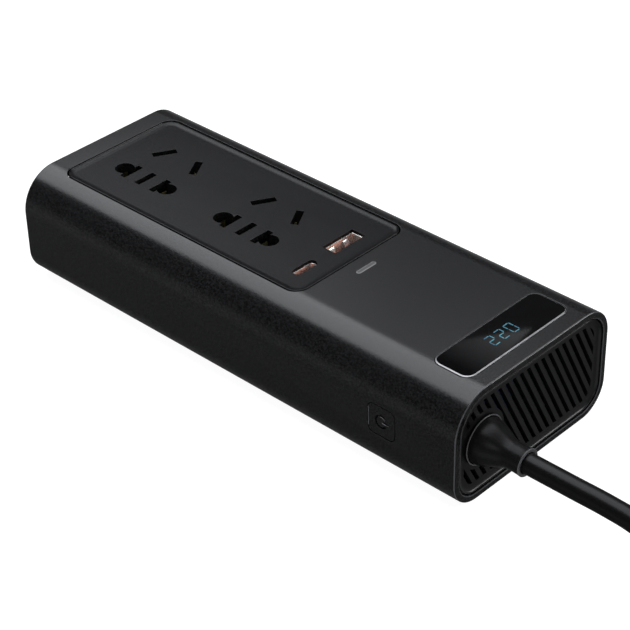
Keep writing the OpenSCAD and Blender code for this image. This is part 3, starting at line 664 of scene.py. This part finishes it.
def make_panel():
    """Dished plate that follows the case's outside along its rim."""
    low_z, face_z = 32.6, 35.4
    rim = [(0.38, -0.6), (0.41, -0.25), (0.5, -0.09), (0.64, -0.04)]
    dish_inset, dish_w, dish_top = 0.66, 1.9, -0.04
    loops = [upright(grown(PANEL_AT, PANEL_SIZE, PANEL_R, -rim[0][0]), low_z)]
    for inset, drop in rim:
        loops.append([(x, y, roof(y) + drop) for x, y in grown(PANEL_AT, PANEL_SIZE, PANEL_R, -inset)])
    for inset, share in fillet(dish_inset, dish_w, 1.0, 0.0)[1:]:
        loops.append([
            (x, y, face_z + (roof(y) + dish_top - face_z) * share)
            for x, y in grown(PANEL_AT, PANEL_SIZE, PANEL_R, -inset)
        ])
    holes = [hole for x in OUTLETS for hole in outlet_outlines(x)]
    holes.append(rounded(5.1, 12.6, 0.3, USB_A, 3))
    holes.append(rounded(3.1, 8.9, 1.549, USB_C, 8))
    panel = cut(loft(loops), joined(*[prism(hole, low_z - 3, ABOVE) for hole in holes]))
    panel = soften(panel, 0.09, lambda m: abs(m.z - face_z) < 0.02, angle=60)

    def rubbed(at, normal):
        """The softened edges of the holes, which get a painted highlight."""
        return at.z < face_z + 0.01 and 0.2 < normal.z < 0.8 and abs(at.y) < 21

    piece("panel", panel, "panel_plastic", ["socket_panel"], edge=rubbed)


make_shell()
make_feet()
make_grille("grille_front", "front_grille", [(EXIT_Y, MID_Z, 8.9)], mirrored=False)
fan_screws = [(sy * 10, MID_Z + sz * 10, 2.4) for sy in (-1, 1) for sz in (-1, 1)]
make_grille("grille_rear", "rear_grille", fan_screws, mirrored=True)
make_panel()

# ---------------------------------------------------------------- ports, lamp and display

PORT_LOW, PORT_TOP = 18.6, 34.4


def port_tube(at, sizes, steps, lip):
    """Thin metal tube with a round lip. Each size is the width, height and radius of an outline: the outer
    one, the one along the lip and the inner one."""
    outer, rim, inner = [rounded(*size, at, steps) for size in sizes]
    return loft([
        upright(outer, PORT_LOW), upright(outer, PORT_TOP - lip), upright(rim, PORT_TOP),
        upright(inner, PORT_TOP - lip), upright(inner, PORT_LOW),
    ], closed=True)


def make_port_shells():
    shell = port_tube(USB_A, ((5.08, 12.58, 0.45), (4.8, 12.3, 0.35), (4.5, 12.0, 0.25)), 4, 0.12)
    bowed = [(-2.2, 28.0), (-1.6, 30.4), (-1.35, 31.4), (-1.6, 32.6), (-2.2, 33.4)]
    back = [(x - 0.05, z) for x, z in reversed(bowed)]
    outline = [(USB_A[0] + x, z) for x, z in bowed + back]
    springs = [prism(outline, USB_A[1] + dy - 1.0, USB_A[1] + dy + 1.0, "y") for dy in (-2.9, 2.9)]
    piece("usb_a_shell_skin", joined(shell, *springs), "port_steel", ["usb_a_shell"])
    shell = port_tube(USB_C, ((3.08, 8.88, 1.53), (2.8, 8.6, 1.39), (2.56, 8.36, 1.27)), 8, 0.1)
    piece("usb_c_shell_skin", shell, "port_steel", ["usb_c_shell"])


def make_port_tongues():
    a_top, c_top = 31.4, 32.9
    blade = prism(rounded(1.8, 11.1, 0.2, (USB_A[0] + 0.6, USB_A[1]), 3), PORT_LOW, a_top)
    blade = soften(blade, 0.2, lambda m: m.z > a_top - 0.01)
    floor = prism(rounded(4.3, 11.8, 0.2, USB_A, 2), PORT_LOW, 24.0)
    piece("usb_a_tongue_skin", joined(blade, floor), "port_plastic", ["usb_a_tongue"])
    blade = prism(rounded(0.72, 6.7, 0.3, USB_C, 4), PORT_LOW, c_top)
    floor = prism(rounded(2.5, 8.3, 1.24, USB_C, 8), PORT_LOW, 27.0)
    piece("usb_c_tongue_skin", joined(blade, floor), "port_plastic", ["usb_c_tongue"])


def make_lamp():
    rim = ((0.0, 20.0), (0.0, CASE_TOP - 0.2), (0.06, CASE_TOP - 0.07), (0.26, CASE_TOP - 0.02))
    lens = loft([upright(grown(LAMP_AT, LAMP_SIZE, LAMP_R, -inset), z) for inset, z in rim])
    # painted highlight on the lens's rounded top edge
    piece("lamp", lens, "lamp_lens", ["indicator_lens"], edge=lambda at, normal: 0.2 < normal.z < 0.98)


SEGMENTS = {0: "abcdef", 2: "abged"}


def figure(value, centre, top):
    """Seven-segment figure, upright towards -X and read along +Y."""
    h, w, stroke, thick = 2.0, 1.15, 0.34, 0.2
    # middle of each segment, and whether it runs up the figure
    spots = {"a": (-h, 0, 0), "b": (-h / 2, w, 1), "c": (h / 2, w, 1), "d": (h, 0, 0),
             "e": (h / 2, -w, 1), "f": (-h / 2, -w, 1), "g": (0, 0, 0)}
    bars = []
    for name in SEGMENTS[value]:
        x, y, runs_up = spots[name]
        reach = (h - stroke) / 2 if runs_up else w - stroke * 0.7
        half = stroke / 2
        shape = [(-reach, -half), (reach - half, -half), (reach, 0), (reach - half, half), (-reach, half),
                 (-reach - half, 0)]
        if not runs_up:
            shape = [(v, u) for u, v in shape]
        bars.append(prism([(centre[0] + x + u, centre[1] + y + v) for u, v in shape], top - thick, top))
    return bars


def display_loop(inset, z):
    return upright(grown(DISPLAY_AT, DISPLAY_SIZE, DISPLAY_R, -inset), z)


def make_display():
    seat_z, glass_z, pitch = 34.8, 36.06, 4
    rim = [(0.0, seat_z), (0.0, 35.98), (0.04, 36.02), (0.4, 36.14), (0.42, 36.14), (0.42, seat_z)]
    ring = loft([display_loop(inset, z) for inset, z in rim], closed=True)
    piece("display_ring", ring, "trim_chrome", ["display_trim"])
    glass = [(0.44, seat_z), (0.44, glass_z - 0.06), (0.52, glass_z)]
    window = loft([display_loop(inset, z) for inset, z in glass])
    piece("display_glass", window, "display_black", ["display_window"])
    bars = []
    for i, value in enumerate((2, 2, 0)):
        bars += figure(value, (DISPLAY_AT[0], DISPLAY_AT[1] + (i - 1) * pitch), glass_z + 0.015)
    piece("display_figures", joined(*bars), "display_light", ["display_digits"])


make_port_shells()
make_port_tongues()
make_lamp()
make_display()

# ---------------------------------------------------------------- power button


def make_button():
    """Cap with an open ring and a bar cut into it, and the stem and flange behind it."""
    front = -HALF_W + 0.03
    bx, bz = BUTTON_AT
    mark_reach = 3.4
    rows = [(0.0, front + 3.0), (0.0, front + 0.18), (0.06, front + 0.06), (0.2, front)]
    cap = loft([
        [(x, y, z) for x, z in grown(BUTTON_AT, BUTTON_SIZE, BUTTON_R, -inset)]
        for inset, y in rows
    ])
    ring = arc((bx, bz), 2.15, 38, 322, 36) + arc((bx, bz), 1.6, 322, 38, 36)
    bar = rounded(2.3, 0.5, 0.2, (bx + 1.55, bz), 3)
    cap = cut(cap, joined(*[prism(mark, front - 1, front + 0.9, "y") for mark in (ring, bar)]))

    def on_mark(at):
        return math.hypot(at.x - bx, at.z - bz) < mark_reach

    def rubbed(at, normal):
        """The cap's -X edge, and those of the mark's edges that face up and towards +X, which get a painted
        highlight.
        """
        if at.y >= front + 0.3 or normal.y >= -0.2:
            return False
        upper = at.x + at.z > bx + bz - 0.4
        return at.x < bx - 4.55 or (normal.x + normal.z > 0.3 and on_mark(at) and upper)

    cap = soften(cap, 0.07, lambda m: abs(m.y - front) < 0.01 and on_mark(m), angle=60)
    stem = prism(rounded(3, 3, 0.3, BUTTON_AT, 2), front + 2.9, -27.0, "y")
    flange = prism(rounded(11.4, 11.4, 1.9, BUTTON_AT, 6), -30.3, -29.3, "y")
    piece("button_cap", joined(cap, stem, flange), "button_plastic", ["power_button"], "button", edge=rubbed)


make_button()

# ---------------------------------------------------------------- strain relief, tie and plug


def make_strain_relief():
    """Rubber bell from behind the grille, through its flange, down to the lip round the lead."""
    start, end, tube, bell = 84.7, 99.4, 3.85, 9.6
    behind = [(0, start - 3.8), (6.8, start - 3.8), (6.8, start - 2.02), (5.0, start - 2.0),
              (5.0, start - 0.1)]
    flange = [(7.3, start), (7.42, start + 0.12), (7.42, start + 0.3), (7.34, start + 0.42),
              (7.2, start + 0.46), (7.02, start + 0.4), (6.95, start + 0.25), (6.85, start + 0.22)]
    taper = []
    for i in range(17):
        share = ((1 + math.cos(math.pi * i / 16)) / 2) ** 0.8
        taper.append((tube + 2.95 * share, start + 0.4 + bell * i / 16))
    lip = [(tube, 96.5), (tube + 0.06, 97.9), (tube + 0.14, 98.7), (tube + 0.22, 99.1), (tube + 0.22, 99.25),
           (tube + 0.12, end), (3.3, end)]
    bore = [(3.16, 99.35), (3.08, 99.25), (3.08, 96.6), (0, 96.6)]

    def rubbed(at, normal):
        """The lip round the lead, and the rim of the flange, which get a painted highlight."""
        on_lip = at.x > 98.95 and normal.x > -0.5
        on_rim = start + 0.3 < at.x < start + 0.47 and math.hypot(at.y - EXIT_Y, at.z - MID_Z) > 7.0
        return on_lip or on_rim

    skin = lathe(behind + flange + taper + lip + bore, (0, EXIT_Y, MID_Z), steps=96)
    return piece("relief_bell", skin, "relief_rubber", ["strain_relief"], angle=50, edge=rubbed)


def tie_outline(radius):
    """Closed line round the three turns, as distance from the coil's centre and height."""
    low = LOW_Z + TIE_LIFT
    top = low + 5.21
    corners = (
        (OUTER_TURN_R, low, -90),
        (OUTER_TURN_R - TURN_PITCH / 2, top, 30),
        (OUTER_TURN_R - TURN_PITCH, low, 150),
    )
    return [p for r, z, a in corners for p in arc((r, z), radius, a, a + 120, 10)]


def make_tie():
    inner, outer = 3.03, 3.56
    end_edge = [(8, inner), (8, 3.42), (7.75, 3.5), (7.3, outer)]

    def loop(angle, radius):
        c, s = math.cos(math.radians(angle)), math.sin(math.radians(angle))
        return [(COIL_AT[0] + r * c, COIL_AT[1] + r * s, max(z, 0.02)) for r, z in tie_outline(radius)]

    rows = [(TIE_ANGLE - turn, radius) for turn, radius in end_edge]
    rows += [(TIE_ANGLE + turn, radius) for turn, radius in reversed(end_edge)]
    band = loft([loop(angle, radius) for angle, radius in rows], closed=True)
    return piece("tie_band", band, "tie_rubber", ["cord_tie"])


# the plug's axis runs along x from here
PLUG_AT = (box_mm("plug_boot")[0][0], *middle("plug_boot")[1:])


def make_boot():
    profile = [(0, 4.0), (3.05, 4.0), (3.05, 0.25), (3.2, 0.05), (4.2, 0.0), (4.5, 0.2), (4.6, 0.5)]
    for i in range(6):
        x, r = 1.6 + 2.5 * i, 4.75 + 0.3 * i
        profile += [(r, x - 0.45), (r + 0.05, x), (r - 0.45, x + 0.25), (r - 0.45, x + 1.15),
                    (r + 0.1, x + 1.4)]
    profile += [(6.75, 17.0), (6.8, 17.95), (5.0, 18.0), (5.0, 21.9), (0, 21.9)]
    return piece("boot", lathe(profile, PLUG_AT), "relief_rubber", ["plug_boot"])


def make_plug_body():
    grip_r = 12.0
    profile = [(5.05, 18.0), (9.9, 18.0), (10.9, 18.25), (11.6, 18.9), (grip_r, 20.0)]
    for groove in range(24, 37, 3):
        profile += [(grip_r, groove - 0.8), (11.85, groove - 0.6), (11.5, groove - 0.35), (11.4, groove),
                    (11.5, groove + 0.35), (11.85, groove + 0.6), (grip_r, groove + 0.8)]
    profile += [(grip_r, 44.6), (11.8, 45.3), (11.3, 45.8), (10.5, 46.0), (10.2, 46.1), (10.2, 79.7),
                (10.05, 79.95), (8.2, 80.0), (8.2, 22.0), (5.05, 22.0)]
    x, y, z = PLUG_AT
    window = rounded(22, 5.2, 0.8, (x + 62, z), 5)
    windows = [prism(window, *sorted((y + side * 5, y + side * 13)), "y") for side in (-1, 1)]
    body = cut(lathe_ring(profile, PLUG_AT), joined(*windows))
    body = soften(body, 0.2, lambda m: 50 < m.x - x < 74 and abs(m.y - y) > 8.6, angle=50)
    return piece("plug_body", body, "plug_plastic", ["plug_shell"])


def make_nose():
    profile = [(5.4, 75.0), (8.1, 75.0), (8.1, 79.99), (9.9, 80.05), (10.15, 80.2), (10.15, 80.21),
               (10.15, 81.9), (10.15, 81.91), (9.95, 82.2), (8.2, 85.6), (7.2, 87.5), (6.8, 87.9),
               (6.3, 88.0), (3.5, 88.0), (3.3, 87.8), (3.3, 85.6), (5.4, 85.6)]
    return piece("plug_nose_cap", lathe_ring(profile, PLUG_AT), "plug_plastic", ["plug_nose"])


def make_pin():
    profile = [(0, 83.0), (4.9, 83.0), (5.0, 83.1), (5.0, 85.4), (3.2, 85.4), (3.2, 89.0), (3.12, 89.6),
               (2.8, 90.2), (2.2, 90.6), (1.2, 90.78), (0, 90.8)]
    return piece("plug_pin", lathe(profile, PLUG_AT, steps=48), "tip_brass", ["plug_tip"], "plug_contact")


on_the_lead = [make_strain_relief(), make_tie(), make_boot(), make_plug_body(), make_nose(), make_pin()]
on_the_lead += [frame["nodes"][n] for n in ("plug_fuse", "tip_spring", "side_contact_a", "side_contact_b")]

# ---------------------------------------------------------------- CAD nodes that stay


def dress_cad():
    """Gives each CAD node the look of its slot."""
    slots = {s["node"]: s["material_slot"] for s in frame["record"]["subparts"]}
    for name, obj in frame["nodes"].items():
        finish = LOOKS[slots[name]]
        if not obj.material_slots:
            obj.data.materials.append(finish)
        for place in obj.material_slots:
            place.link = "OBJECT"
            place.material = finish


dress_cad()

# ---------------------------------------------------------------- stage, in metres

KEY_AT, KEY_SIZE = (-0.34, 0.06, 0.68), (1.1, 0.72)
DAYLIGHT = (0.95, 0.97, 1.0)


def area_light(name, at, aim, size, power, colour=(1, 1, 1)):
    data = bpy.data.lights.new(name, "AREA")
    data.shape = "RECTANGLE"
    data.size, data.size_y = size
    data.energy = power
    data.color = colour
    light = bpy.data.objects.new(name, data)
    bpy.context.scene.collection.objects.link(light)
    light.location = at
    light.rotation_mode = "QUATERNION"
    light.rotation_quaternion = (Vector(aim) - Vector(at)).to_track_quat("-Z", "Y")


def card(name, corners, from_y, to_y, low, high):
    """Flat light beside the key, seen only in reflections. It has one face for every four corners, and gets
    brighter from one y to the other."""
    mesh = bpy.data.meshes.new(name)
    faces = [tuple(range(i, i + 4)) for i in range(0, len(corners), 4)]
    mesh.from_pydata([(x, y, KEY_AT[2]) for x, y in corners], [], faces)
    obj = bpy.data.objects.new(name, mesh)
    bpy.context.scene.collection.objects.link(obj)
    n = Nodes(name)
    split = n.add("ShaderNodeSeparateXYZ")
    n.link(n.place, split.inputs["Vector"])
    n.link(n.spread(split.outputs["Y"], low, high, from_y, to_y), n.shader.inputs["Emission Strength"])
    n.set(Base_Color=(0, 0, 0, 1), Roughness=1.0, Specular_IOR_Level=0.0, Emission_Color=(*DAYLIGHT, 1))
    mesh.materials.append(n.material)
    obj.visible_camera = obj.visible_shadow = obj.visible_diffuse = False


def make_floor():
    """A wide pale table that glows, so that it stays white all round the part."""
    size, corner, thick = 12000, 2000, 20
    n = Nodes("floor_paint")
    tone = n.mix(n.spread(n.noise(4), 0.0, 1.0), (0.24, 0.24, 0.24), (0.26, 0.26, 0.26))
    n.link(tone, n.shader.inputs["Base Color"])
    n.set(Roughness=0.9, Specular_IOR_Level=0.1, Emission_Color=(1, 1, 1, 1), Emission_Strength=0.95)
    floor = to_object("floor", prism(rounded(size, size, corner, steps=12), -thick, 0))
    floor.data.materials.append(n.material)
    floor.visible_glossy = False


def make_world():
    """Dim above, a paler band low on the horizon, and a bright table in front."""
    dim, base, horizon, table = 0.09, 0.1, 0.17, 0.5
    world = bpy.data.worlds.new("studio")
    world.use_nodes = True
    tree = world.node_tree
    split = tree.nodes.new("ShaderNodeSeparateXYZ")
    tree.links.new(tree.nodes.new("ShaderNodeTexCoord").outputs["Generated"], split.inputs["Vector"])
    height = split.outputs["Z"]

    def band(socket, start, end, low, high):
        ramp = tree.nodes.new("ShaderNodeMapRange")
        ramp.interpolation_type = "SMOOTHSTEP"
        for key, number in (("From Min", start), ("From Max", end), ("To Min", low), ("To Max", high)):
            ramp.inputs[key].default_value = number
        tree.links.new(socket, ramp.inputs["Value"])
        return ramp.outputs["Result"]

    def maths(operation, a, b):
        node = tree.nodes.new("ShaderNodeMath")
        node.operation = operation
        tree.links.new(a, node.inputs[0])
        tree.links.new(b, node.inputs[1])
        return node.outputs[0]

    glow = maths("MULTIPLY", band(height, 0.1, -0.15, 0.0, horizon), band(height, -0.65, -0.25, 0.0, 1.0))
    towards_front = band(maths("SUBTRACT", split.outputs["X"], split.outputs["Y"]), 0.6, 1.1, 0.0, table)
    in_front = maths("MULTIPLY", towards_front, band(height, -0.2, -0.35, 0.0, 1.0))
    everywhere = band(height, 0.1, -0.3, dim, base)
    background = tree.nodes["Background"]
    tree.links.new(maths("ADD", maths("ADD", glow, in_front), everywhere), background.inputs["Strength"])
    background.inputs["Color"].default_value = (0.97, 0.98, 1.0, 1)
    bpy.context.scene.world = world
    bpy.context.scene.view_settings.view_transform = "Standard"


def make_lights():
    area_light("key", at=KEY_AT, aim=(*KEY_AT[:2], 0), size=KEY_SIZE, power=8.3, colour=(0.94, 0.96, 1.0))
    # the key's soft far edge, open where the display window would mirror it
    near, far, left, right = 0.42, 0.75, -0.95, 0.2
    gap_left, gap_right = -0.535, -0.435
    beside_gap = [(left, near), (gap_left, near), (gap_left, far), (left, far),
                  (gap_right, near), (right, near), (right, far), (gap_right, far)]
    card("soft_edge", beside_gap, from_y=far, to_y=near, low=0.0, high=3.0)
    # what the display window mirrors instead
    in_window = [(-0.47, 0.7455), (-0.503, 0.6925), (-0.516, 0.63), (-0.452, 0.63)]
    card("window_card", in_window, from_y=0.665, to_y=0.74, low=0.05, high=1.1)
    area_light("front", at=(0.75, -1.0, 0.6), aim=(0.08, -0.01, 0.02), size=(0.45, 0.45), power=2.0)
    area_light("rim", at=(0.55, 0.62, 0.33), aim=(0.085, 0, 0.02), size=(0.35, 0.35), power=4.0)


make_floor()
make_world()
make_lights()
